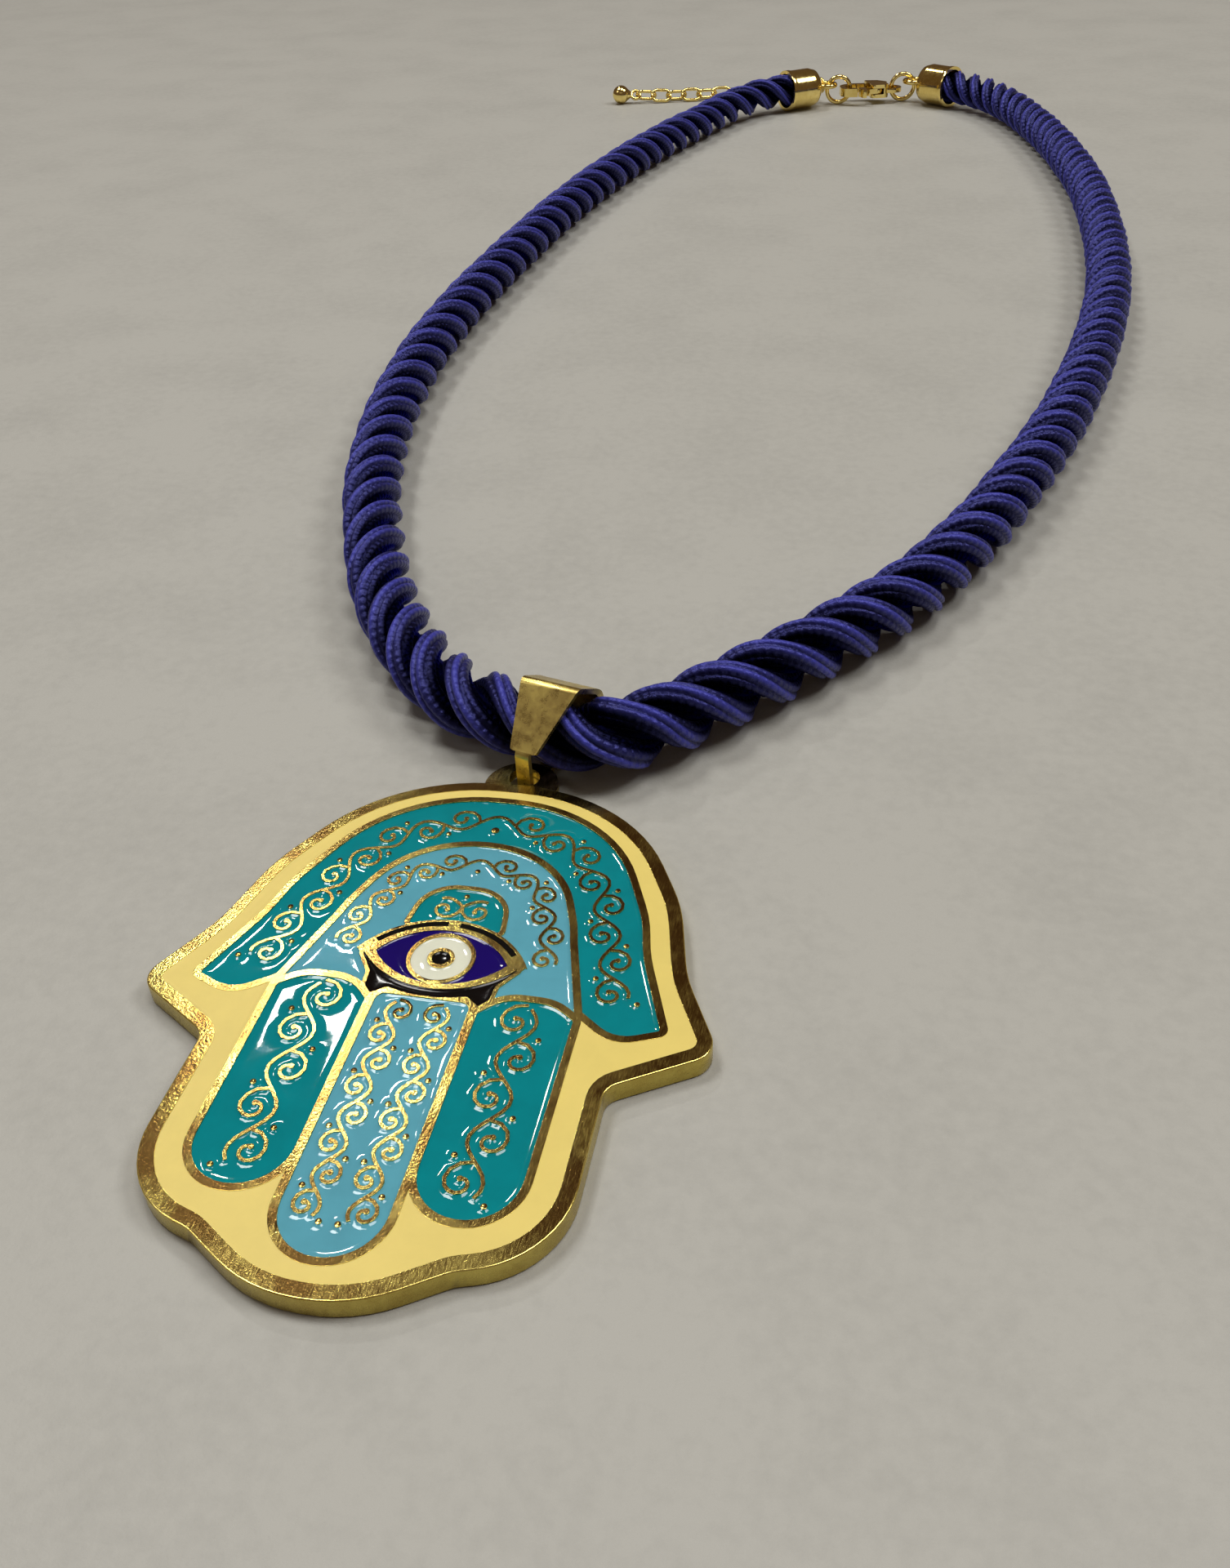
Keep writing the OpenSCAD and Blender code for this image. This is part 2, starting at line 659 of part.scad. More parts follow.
module bail() {
    color("goldenrod")
    translate([bail_mid[0] - bail_dir[0] * bail_r, bail_mid[1] - bail_dir[1] * bail_r, 0])
    rotate([0, 0, 90 - bail_turn])
    intersection() {
        rotate([90, 0, 0]) translate([0, 0, -bail_wide]) linear_extrude(2 * bail_wide) difference() {
            bail_side(0);
            bail_side(bail_t);
        }
        translate([bail_r, 0, bail_z]) rotate([0, bail_slant, 0]) rotate([90, 0, 90])
            translate([0, 0, -3 * bail_r]) linear_extrude(6 * bail_r) bail_leaf_2d();
    }
}

// Direction of the rope's route at point i: the mean of the two stretches that meet there
function route_dir(i) = unit(
    (i > 0 ? unit(rope_route[i] - rope_route[i - 1]) : [0, 0, 0])
    + (i < rope_last ? unit(rope_route[i + 1] - rope_route[i]) : [0, 0, 0]));

// One ring of the rope, square to its route
function rope_ring(i) = let (
    d = route_dir(i),
    side = unit(cross(d, [0, 0, 1])),
    up = cross(side, d))
    [for (k = [0:rope_sides - 1]) rope_route[i]
        + rope_d / 2 * (cos(360 * k / rope_sides) * side + sin(360 * k / rope_sides) * up)];

module rope() {
    n = rope_sides;
    color("midnightblue") polyhedron(
        points = [for (i = [0:rope_last]) each rope_ring(i)],
        faces = concat(
            [[for (k = [n - 1:-1:0]) k]],
            [for (i = [0:rope_last - 1], k = [0:n - 1])
                [i * n + k, i * n + (k + 1) % n, (i + 1) * n + (k + 1) % n, (i + 1) * n + k]],
            [[for (k = [0:n - 1]) rope_last * n + k]]));
}

// An end cap along X from its mouth, with a loop that lies flat
module cap_shape() {
    socket_r = rope_d / 2 + rope_gap;
    rotate([0, 90, 0]) rotate_extrude($fn = 96) polygon([
        [socket_r, 0], [cap_r + cap_lip, 0], [cap_r + cap_lip, 0.8], [cap_r, 1.0],
        [cap_r, cap_socket], [cap_r * 0.9, cap_l - cap_crown * 0.5],
        [cap_r * 0.6, cap_l - cap_crown * 0.15], [loop_wire * 0.6, cap_l],
        [loop_wire * 0.6, loop_at - loop_r], [0, loop_at - loop_r], [0, cap_socket],
        [socket_r, cap_socket]]);
    translate([loop_at, 0, 0]) rotate_extrude($fn = 64)
        translate([loop_r, 0]) circle(r = loop_wire / 2, $fn = 32);
}

module lay_cap(mouth, dir) {
    translate([mouth[0], mouth[1], cap_z]) rotate([0, 0, atan2(dir[1], dir[0])]) cap_shape();
}

module left_cap() {
    color("gold") lay_cap(left_mouth, left_dir);
}

module right_cap() {
    color("gold") lay_cap(right_mouth, right_dir);
}

// A jump ring that stands on the surface, in line with the clasp
module standing_ring(mid) {
    translate([mid[0], mid[1], ring_z]) rotate([0, 0, clasp_turn]) rotate([90, 0, 0])
        rotate_extrude($fn = 96) translate([ring_r, 0]) circle(r = ring_wire / 2, $fn = 32);
}

module left_ring() {
    color("goldenrod") standing_ring(left_ring_mid);
}

module right_ring() {
    color("goldenrod") standing_ring(right_ring_mid);
}

// Clasp, seen from above with its eye at the origin and its hook along X; the lever is on the
// side of positive Y
hook_tip = reach - 3.3;
hook_corners = [[1.0, -1.2, 0.3], [3.0, -2.6, 1.5], [reach - 3, -3.1, 3], [reach, -2.2, 2],
                [reach, 1.9, 1.6], [hook_tip, 2.4, 0.2], [hook_tip + 0.4, 1.2, 0.2],
                [reach - hook_w, 0.9, 0.6], [reach - hook_w, -1.6, 1], [reach - 3.5, -2, 1.5],
                [4.9, -1.6, 0.8], [4.3, 0.4, 0.6], [4.3, 1.7, 0.8], [1.6, 1.7, 0.9], [1.0, 1.2, 0.3]];
housing_corners = [[0.9, -1.25, 0.3], [2.5, -2.75, 1.2], [5.2, -3.2, 0.5], [4.9, -1.6, 0.4],
                   [4.4, 0.2, 0.6], [4.4, 1.95, 0.9], [1.5, 1.8, 0.9], [0.9, 1.25, 0.3]];
// The lever's gate reaches to the tip of the hook and has a thumb piece
gate_corners = [[3.0, -0.4, 0], [4.9, 0.7, 0.5], [hook_tip - lever_gap, 1.3, 0.2],
                [hook_tip - lever_gap, 2.3, 0.3], [6.6, 2.4, 0.4], [6.2, 3.5, 0.35],
                [5.5, 3.5, 0.35], [4.9, 2.0, 0.5], [3.0, 1.5, 0]];

module at_clasp(z) {
    translate([clasp_eye[0], clasp_eye[1], z]) rotate([0, 0, clasp_turn]) children();
}

module slab(t) {
    translate([0, 0, -t / 2]) linear_extrude(t) children();
}

module clasp_body() {
    color("gold") at_clasp(clasp_z) {
        difference() {
            union() {
                slab(hook_t) polygon(rounded(hook_corners));
                slab(clasp_t) polygon(rounded(housing_corners));
                slab(clasp_eye_t) circle(r = clasp_eye_r + clasp_eye_web, $fn = 64);
            }
            slab(clasp_t + 1) circle(r = clasp_eye_r, $fn = 64);
            slab(slot_t) translate([pin_at[0] - hub_r - lever_gap, pin_at[1] - hub_r - lever_gap])
                square([reach / 2, 4]);
        }
        translate([pin_at[0], pin_at[1], -clasp_t / 2]) cylinder(r = pin_r, h = clasp_t, $fn = 48);
    }
}

module clasp_lever() {
    color("goldenrod") at_clasp(clasp_z) difference() {
        union() {
            slab(lever_t) {
                translate(pin_at) circle(r = hub_r, $fn = 64);
                polygon(rounded(gate_corners));
            }
            slab(hook_t) intersection() {
                polygon(rounded(gate_corners));
                translate([5.5, -1]) square([reach, 6]);
            }
        }
        translate([pin_at[0], pin_at[1], -clasp_t]) cylinder(r = pin_r + lever_gap, h = 2 * clasp_t, $fn = 48);
    }
}

// A point of a route at the distance s from its start
function along(route, s, i = 0) = let (step = route[i + 1] - route[i], l = norm(step))
    s <= l || i >= len(route) - 2 ? route[i] + step * s / l : along(route, s - l, i + 1);

// A link along X between two joints, standing in the XZ plane
module link_shape() {
    r = (link_w - link_wire) / 2;
    straight = link_l - link_w;
    rotate([90, 0, 0]) for (s = [-1, 1]) {
        translate([s * straight / 2, 0, 0]) rotate([0, 0, -s * 90])
            rotate_extrude(angle = 180, $fn = 64) translate([r, 0]) circle(r = link_wire / 2, $fn = 24);
        translate([-straight / 2, s * r, 0]) rotate([0, 90, 0])
            cylinder(r = link_wire / 2, h = straight, $fn = 24);
    }
}

// Moves what lies along X to run from a to b, rolled about that line
module between(a, b, roll) {
    d = b - a;
    translate((a + b) / 2) rotate([0, 0, atan2(d[1], d[0])]) rotate([0, -asin(d[2] / norm(d)), 0])
        rotate([roll, 0, 0]) children();
}

module chain_link(i) {
    color("gold") between(along(chain_route, (i - 1) * link_pitch), along(chain_route, i * link_pitch),
        i < len(first_rolls) ? first_rolls[i] : i % 2 == 0 ? 45 : -45) link_shape();
}

module chain_drop() {
    start = along(chain_route, link_count * link_pitch);
    ahead = unit(flat(along(chain_route, link_count * link_pitch + 1) - start));
    eye = drop_eye_r - link_wire / 2 - link_gap / 2;
    body = eye + drop_eye_r;
    reach_out = body + drop_r * 1.25;
    rise = drop_r + rest_gap - start[2];
    run = sqrt(pow(reach_out, 2) - pow(rise, 2));
    color("gold") between(start, start + [ahead[0] * run, ahead[1] * run, rise] / 100,
        link_count % 2 == 0 ? -45 : 45) {
        translate([eye, 0, 0]) rotate([90, 0, 0]) rotate_extrude($fn = 48)
            translate([drop_eye_r, 0]) circle(r = link_wire / 2, $fn = 24);
        translate([reach_out, 0, 0]) sphere(r = drop_r, $fn = 64);
        translate([body, 0, 0]) rotate([0, 90, 0])
            cylinder(r1 = 0.5, r2 = drop_r * 0.94, h = drop_r * 0.93, $fn = 64);
    }
}

hand_plate();
border_enamel();
outer_arch_enamel();
inner_arch_enamel();
brow_enamel();
left_finger_enamel();
middle_finger_enamel();
right_finger_enamel();
left_eye_enamel();
right_eye_enamel();
iris_enamel();
pupil_enamel();
left_lid_enamel();
right_lid_enamel();
lower_lid_enamel();
bail();
rope();
left_cap();
right_cap();
left_ring();
right_ring();
clasp_body();
clasp_lever();
for (i = [1:link_count]) chain_link(i);
chain_drop();
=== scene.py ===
# Hamsa pendant on a twisted satin rope, lying on a pale table.
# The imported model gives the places; this script gives the pieces their detail and finish.
import math

import bpy
import numpy as np
from mathutils import Matrix, Vector, noise
from mathutils.bvhtree import BVHTree
from mathutils.kdtree import KDTree


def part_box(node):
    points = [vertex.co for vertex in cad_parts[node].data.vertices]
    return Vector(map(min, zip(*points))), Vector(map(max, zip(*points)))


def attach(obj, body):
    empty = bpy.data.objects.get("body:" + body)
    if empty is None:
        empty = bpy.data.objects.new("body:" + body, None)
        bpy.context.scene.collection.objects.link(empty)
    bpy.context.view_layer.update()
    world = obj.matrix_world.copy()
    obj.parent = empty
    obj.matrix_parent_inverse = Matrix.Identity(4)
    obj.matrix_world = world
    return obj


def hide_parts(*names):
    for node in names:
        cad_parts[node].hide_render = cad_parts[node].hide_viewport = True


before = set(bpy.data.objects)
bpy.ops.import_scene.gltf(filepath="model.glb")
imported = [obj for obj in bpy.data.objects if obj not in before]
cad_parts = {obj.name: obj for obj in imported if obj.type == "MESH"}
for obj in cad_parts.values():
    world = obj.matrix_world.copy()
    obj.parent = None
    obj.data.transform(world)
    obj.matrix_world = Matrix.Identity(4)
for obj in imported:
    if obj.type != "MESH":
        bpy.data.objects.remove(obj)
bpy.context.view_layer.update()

mm = 0.001


print("frame loaded:", len(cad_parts), "nodes")


# Camera: the photograph's, worked out from the hand's symmetry

camera = {
    "place": (25.76, -58.56, 63.32),   # mm above the table
    "heading": (-0.2307, 0.973),
    "down": 37.67,                     # degrees below the horizon
    "roll": -2.72,
    "lens": 31.69,
    "sensor": 36,
    "clip": (0.002, 5),                # m
}


def addCamera(s):
    down, roll = math.radians(s["down"]), math.radians(s["roll"])
    ahead = Vector((s["heading"][0], s["heading"][1], 0)).normalized()
    right = Vector((ahead.y, -ahead.x, 0))
    forward = ahead * math.cos(down) - Vector((0, 0, math.sin(down)))
    upward = right.cross(forward)
    across = right * math.cos(roll) + upward * math.sin(roll)
    upright = upward * math.cos(roll) - right * math.sin(roll)
    bpy.ops.object.camera_add(location=[v * mm for v in s["place"]])
    view = bpy.context.object
    view.name = "photoCamera"
    view.rotation_euler = Matrix((across, upright, -forward)).transposed().to_euler()
    view.data.lens = s["lens"]
    view.data.sensor_width = s["sensor"]
    view.data.clip_start, view.data.clip_end = s["clip"]
    bpy.context.scene.camera = view


bpy.ops.object.select_all(action="DESELECT")
addCamera(camera)
print("camera placed")


# Shader helpers and shared groups

def addNode(tree, kind, **settings):
    node = tree.nodes.new(kind)
    for key, value in settings.items():
        if key in node.inputs:
            node.inputs[key].default_value = value
        else:
            setattr(node, key, value)
    return node


def join(tree, source, target):
    tree.links.new(source, target)


def mathNode(tree, operation, *values):
    # each value is a number or the output that feeds it
    node = addNode(tree, "ShaderNodeMath", operation=operation)
    for socket, value in zip(node.inputs, values):
        if isinstance(value, (int, float)):
            socket.default_value = value
        else:
            join(tree, value, socket)
    return node.outputs["Value"]


def mapRange(tree, source, start, end):
    node = addNode(tree, "ShaderNodeMapRange")
    join(tree, source, node.inputs["Value"])
    node.inputs["From Min"].default_value, node.inputs["From Max"].default_value = start
    node.inputs["To Min"].default_value, node.inputs["To Max"].default_value = end
    return node.outputs["Result"]


def ramp(tree, source, stops):
    node = tree.nodes.new("ShaderNodeValToRGB")
    marks = node.color_ramp.elements
    while len(marks) < len(stops):
        marks.new(0.5)
    for mark, (place, colour) in zip(marks, stops):
        mark.position = place
        mark.color = (*colour, 1)
    join(tree, source, node.inputs["Fac"])
    return node.outputs["Color"]


def noiseNode(tree, vector, scale, detail, rough):
    # the scale is a number or an output
    node = addNode(tree, "ShaderNodeTexNoise", Detail=detail, Roughness=rough)
    join(tree, vector, node.inputs["Vector"])
    if isinstance(scale, float):
        node.inputs["Scale"].default_value = scale
    else:
        join(tree, scale, node.inputs["Scale"])
    return node.outputs["Fac"]


def newGroup(name, inputs, outputs):
    group = bpy.data.node_groups.new(name, "ShaderNodeTree")
    group.interface.new_socket(name="Vector", in_out="INPUT", socket_type="NodeSocketVector")
    for label, value in inputs.items():
        socket = group.interface.new_socket(name=label, in_out="INPUT", socket_type="NodeSocketFloat")
        socket.default_value = value
    for label in outputs:
        group.interface.new_socket(name=label, in_out="OUTPUT", socket_type="NodeSocketFloat")
    return group, group.nodes.new("NodeGroupInput"), group.nodes.new("NodeGroupOutput")


def grainGroup():
    # mottling at two scales: a mask of soft spots, and a height of fine grain
    group, start, end = newGroup("softGrain", {"Spots": 400.0, "Grain": 4000.0}, ["Mask", "Height"])
    for scale, detail, result in (("Spots", 4.0, "Mask"), ("Grain", 3.0, "Height")):
        grain = noiseNode(group, start.outputs["Vector"], start.outputs[scale], detail, 0.6)
        join(group, grain, end.inputs[result])
    return group


def brushGroup():
    # fine lines left by a brush that went along Y, with pits between them
    group, start, end = newGroup("brushMarks",
        {"Lines": 5000.0, "Stretch": 0.05, "Pits": 3000.0, "Pit Depth": 0.5}, ["Streaks", "Height", "Patches"])
    squeeze = addNode(group, "ShaderNodeCombineXYZ", X=1.0, Z=1.0)
    join(group, start.outputs["Stretch"], squeeze.inputs["Y"])
    along = addNode(group, "ShaderNodeVectorMath", operation="MULTIPLY")
    join(group, start.outputs["Vector"], along.inputs[0])
    join(group, squeeze.outputs["Vector"], along.inputs[1])
    lines = noiseNode(group, along.outputs["Vector"], start.outputs["Lines"], 3.0, 0.7)
    pits = noiseNode(group, start.outputs["Vector"], start.outputs["Pits"], 2.0, 0.5)
    patches = noiseNode(group, start.outputs["Vector"], 260.0, 3.0, 0.6)
    deep = mathNode(group, "MULTIPLY", pits, start.outputs["Pit Depth"])
    join(group, lines, end.inputs["Streaks"])
    join(group, mathNode(group, "ADD", lines, deep), end.inputs["Height"])
    join(group, patches, end.inputs["Patches"])
    return group


softGrain = grainGroup()
brushMarks = brushGroup()


def newMaterial(name, **sockets):
    look = bpy.data.materials.new(name)
    look.use_nodes = True
    tree = look.node_tree
    shader = tree.nodes["Principled BSDF"]
    for key, value in sockets.items():
        shader.inputs[key.replace("_", " ")].default_value = value
    where = tree.nodes.new("ShaderNodeTexCoord")
    return look, tree, shader, where.outputs["Object"]


def useGroup(tree, group, vector, **values):
    node = tree.nodes.new("ShaderNodeGroup")
    node.node_tree = group
    join(tree, vector, node.inputs["Vector"])
    for key, value in values.items():
        node.inputs[key.replace("_", " ")].default_value = value
    return node


def bumpFrom(tree, height, distance, strength=1.0):
    node = addNode(tree, "ShaderNodeBump", Strength=strength, Distance=distance)
    join(tree, height, node.inputs["Height"])
    return node.outputs["Normal"]


def dress(piece, look, body="necklace", stands=()):
    piece.data.materials.clear()
    piece.data.materials.append(look)
    if stands:
        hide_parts(*stands)
    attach(piece, body)


# Rope: three plies, each a bundle of fine wrapped cords

rope = {
    "diameter": 5.9,
    "twist": [                         # length of one turn, by place along the rope
        (0, 16), (205, 15.7), (235, 14.6), (250, 14.6), (290, 13.9), (300, 12.6), (335, 12)],
    "start": 0.04,                     # turn of the first ply at the left end
    "plies": 3,
    "plyShare": 0.464,                 # radius of a ply, as a share of the rope's
    "cords": 7,                        # fine cords round a ply
    "cordShare": 0.45,                 # radius of a fine cord, as a share of the ring it stands on
    "grooves": 0.85,                   # how much of the depth between the cords is kept
    "squeeze": 0.8,                    # width of a ply beside its neighbours, as a share of its depth
    "plyTwist": -0.3,                  # turns of the cords about their ply, for one turn of the rope
    "wander": (0.11, 0.12),            # how often per mm and how far in radians the lay is uneven
    "swell": (0.35, 0.025),            # how often per mm and by what share a ply thickens
    "bailPlace": (1.63, 23.07),
    "nearStep": 0.5,                   # mm between rings beside the bail
    "farStep": 0.95,
    "nearReach": 45,                   # mm from the bail within which the rings stand close
    "farReach": 105,
    "around": 49,                      # points round a ply
    "core": 0.42,                      # radius of the core between the plies, as a share of the rope's; the painted shade makes it black
    "coreSides": 10,                   # points round it
    "pathStep": 0.1,                   # mm between points of the smooth route
    "keptEvery": 10,                   # of them goes into the cord's path
    "route": [
        (0, 244, 3.67), (-8, 238, 3.67), (-13, 230.5, 3.3), (-17.5, 218, 3.0), (-21.5, 205, 3.0),
        (-25, 191, 3.0), (-28, 175, 3.0), (-30.2, 158, 3.0), (-31.6, 141, 3.0), (-32.6, 124, 3.0),
        (-32.9, 108, 3.0), (-32.2, 93, 3.0), (-30.2, 78, 3.0), (-27, 64, 3.0), (-22.4, 51, 3.0),
        (-17.3, 40, 3.0), (-12, 32, 3.1), (-6.5, 26.3, 3.4), (-1.671, 23.894, 3.55), (4.927, 22.249, 3.55),
        (6.9, 22.8, 3.5), (9.6, 25.3, 3.2), (13.8, 29.9, 3.1), (20, 37.6, 3.0), (26.5, 46.6, 3.0),
        (32, 57.5, 3.0), (36.6, 70, 3.0), (41, 84, 3.0), (44.6, 99, 3.0), (47.4, 114, 3.0),
        (49.3, 129, 3.0), (50.2, 145, 3.0), (50.2, 161, 3.0), (49.5, 177, 3.0), (47.8, 192, 3.0),
        (45.4, 207, 3.0), (42.2, 221, 3.0), (38, 233, 3.3), (32, 242, 3.67), (24, 248, 3.67)],
}

satin = {
    "colour": (0.046, 0.05, 0.34),
    "shine": (0.28, 0.3, 1.0, 1),
    "fuzz": (0.3, 0.32, 1.0, 1),
    # distances from the rope's middle, as shares of its radius
    "paintedShadeReach": 0.66,                 # up to here the painted shade is darkest and the shine is taken out
    "shineReach": 0.9,                 # from here the shine is full
    "paintedShadeEndReach": 1.0,                  # here the painted shade ends and the colour is full
    "depthShare": 0.9,
    "stops": (0.34, 0.82, 1.0),        # where the painted deepest shade, the painted half shade and the full colour stand
    "paintedShadeShare": 0.02,                 # painted shade between the plies, as a share of the colour
    # painted half shade, as a share of the colour
    "paintedHalfShadeShare": 0.26,
    "mottle": 0.3,
    "wrap": 0.6,                       # mm between the threads wound round a cord
    "unevenWrap": 0.4,                 # mm
    "threads": 0.45,                   # height of the threads, as a share of the fibres'
    "bump": 0.00007,
}


def smoothPath(points, step, perSpan=24):
    # a smooth curve through the points, at even steps
    p = np.array(points, float)
    p = np.vstack([2 * p[0] - p[1], p, 2 * p[-1] - p[-2]])
    fine = []
    for i in range(1, len(p) - 2):
        a, b, c, d = p[i - 1:i + 3]
        gaps = [np.linalg.norm(v) ** 0.5 for v in (b - a, c - b, d - c)]
        t0, t1 = 0.0, gaps[0]
        t2, t3 = t1 + gaps[1], t1 + gaps[1] + gaps[2]
        for t in np.linspace(t1, t2, perSpan, endpoint=False):
            a1 = (t1 - t) / (t1 - t0) * a + (t - t0) / (t1 - t0) * b
            a2 = (t2 - t) / (t2 - t1) * b + (t - t1) / (t2 - t1) * c
            a3 = (t3 - t) / (t3 - t2) * c + (t - t2) / (t3 - t2) * d
            b1 = (t2 - t) / (t2 - t0) * a1 + (t - t0) / (t2 - t0) * a2
            b2 = (t3 - t) / (t3 - t1) * a2 + (t - t1) / (t3 - t1) * a3
            fine.append((t2 - t) / (t2 - t1) * b1 + (t - t1) / (t2 - t1) * b2)
    fine.append(p[-2])
    fine = np.array(fine)
    run = np.concatenate([[0], np.cumsum(np.linalg.norm(np.diff(fine, axis=0), axis=1))])
    places = np.linspace(0, run[-1], int(round(run[-1] / step)) + 1)
    return np.stack([np.interp(places, run, fine[:, k]) for k in range(3)], 1), places


def unitRows(v):
    return v / np.linalg.norm(v, axis=1, keepdims=True)


def cordSection(s):
    # radius of a ply at each point round it: the outline of the fine cords on their ring
    reach = 1.0 + s["cordShare"]
    turn = 2 * math.pi * (np.arange(s["around"]) + 0.5) / s["around"]
    off = (turn * s["cords"] / (2 * math.pi) + 0.5) % 1 - 0.5
    off = off * 2 * math.pi / s["cords"]
    inside = np.maximum(s["cordShare"] ** 2 - np.sin(off) ** 2, 0)
    full = (np.cos(off) + np.sqrt(inside)) / reach
    return turn, 1 - (1 - full) * s["grooves"]


def pickRings(s, path, run):
    # places along the path that get a ring of points: close beside the bail, wider far from it
    near = np.linalg.norm(path[:, :2] - np.array(s["bailPlace"]), axis=1)
    picked = [0]
    for i in range(1, len(path)):
        blend = min(1.0, max(0.0, (near[i] - s["nearReach"]) / (s["farReach"] - s["nearReach"])))
        if run[i] - run[picked[-1]] >= s["nearStep"] + (s["farStep"] - s["nearStep"]) * blend - 0.01:
            picked.append(i)
    if picked[-1] != len(path) - 1:
        picked.append(len(path) - 1)
    return picked


def addRope(s):
    path, run = smoothPath(s["route"], s["pathStep"])
    picked = pickRings(s, path, run)
    tangent = unitRows(np.gradient(path, axis=0))
    side = unitRows(np.cross(tangent, np.array([0, 0, 1.0])))
    top = np.cross(side, tangent)
    ropeR = s["diameter"] / 2
    plyR = ropeR * s["plyShare"]
    ringR = ropeR - plyR
    turn, shape = cordSection(s)
    often, far = s["wander"]
    uneven = far * np.array([noise.noise(Vector((r * often, 0.3, 0.7))) for r in run])
    marks, lengths = zip(*s["twist"])
    turns = s["start"] + np.cumsum(np.gradient(run) / np.interp(run, marks, lengths))
    verts, faces, uvs, reach = [], [], [], []

    for ply in range(s["plies"]):
        angle = -2 * math.pi * (turns + ply / s["plies"]) + uneven
        out = side * np.cos(angle)[:, None] + top * np.sin(angle)[:, None]
        middle = path + out * ringR
        ahead = unitRows(np.gradient(middle, axis=0))
        outward = unitRows(out - ahead * np.sum(out * ahead, 1, keepdims=True))
        across = np.cross(ahead, outward)
        length = np.concatenate([[0], np.cumsum(np.linalg.norm(np.diff(middle, axis=0), axis=1))])
        base, n = len(verts), s["around"]
        often, share = s["swell"]
        for i in picked:
            spin = turn + 2 * math.pi * s["plyTwist"] * turns[i]
            r = plyR * (1 + share * noise.noise(Vector((length[i] * often, ply * 7.1, 2.0)))) * shape
            ring = middle[i] + np.outer(np.cos(spin) * r, outward[i])
            ring = ring + np.outer(np.sin(spin) * r * s["squeeze"], across[i])
            verts.extend((ring * mm).tolist())
            reach.extend(np.linalg.norm(ring - path[i], axis=1) / ropeR)
        for j in range(len(picked) - 1):
            u0, u1 = length[picked[j]], length[picked[j + 1]]
            for k in range(n):
                a, b = base + j * n + k, base + j * n + (k + 1) % n
                faces.append((a, b, b + n, a + n))
                v0, v1 = [(k + step) / n * s["cords"] + ply * (s["cords"] + 1) for step in (0, 1)]
                uvs.extend([(u0, v0), (u0, v1), (u1, v1), (u1, v0)])
        for start in (base, base + (len(picked) - 1) * n):
            ring = list(range(start, start + n))
            faces.append(tuple(ring[::-1] if start == base else ring))
            uvs.extend([(0, 0)] * n)

    # the core that fills the space between the plies; its small reach puts it in the painted shade, so it shows
    # black
    base, sides = len(verts), s["coreSides"]
    for i in picked[::2] + [picked[-1]]:
        for k in range(sides):
            a = 2 * math.pi * k / sides
            off = (side[i] * math.cos(a) + top[i] * math.sin(a)) * s["core"] * ropeR
            verts.append(tuple((path[i] + off) * mm))
            reach.append(s["core"])
    for j in range((len(verts) - base) // sides - 1):
        for k in range(sides):
            a, b = base + j * sides + k, base + j * sides + (k + 1) % sides
            faces.append((a, a + sides, b + sides, b))
            uvs.extend([(0, 0)] * 4)
    faces.append(tuple(range(base, base + sides)))
    faces.append(tuple(range(len(verts) - 1, len(verts) - 1 - sides, -1)))
    uvs.extend([(0, 0)] * sides * 2)

    mesh = bpy.data.meshes.new("twistedRope")
    mesh.from_pydata(verts, [], faces)
    layer = mesh.uv_layers.new(name="alongCord")
    layer.data.foreach_set("uv", np.array(uvs, np.float32).ravel())
    # the reach carries the rope's painted shade into its material
    mesh.attributes.new("reach", "FLOAT", "POINT").data.foreach_set("value", np.array(reach, np.float32))
    mesh.polygons.foreach_set("use_smooth", [True] * len(mesh.polygons))
    mesh.update()
    piece = bpy.data.objects.new("twistedRope", mesh)
    bpy.context.scene.collection.objects.link(piece)
    return piece, path[::s["keptEvery"]], run[-1]


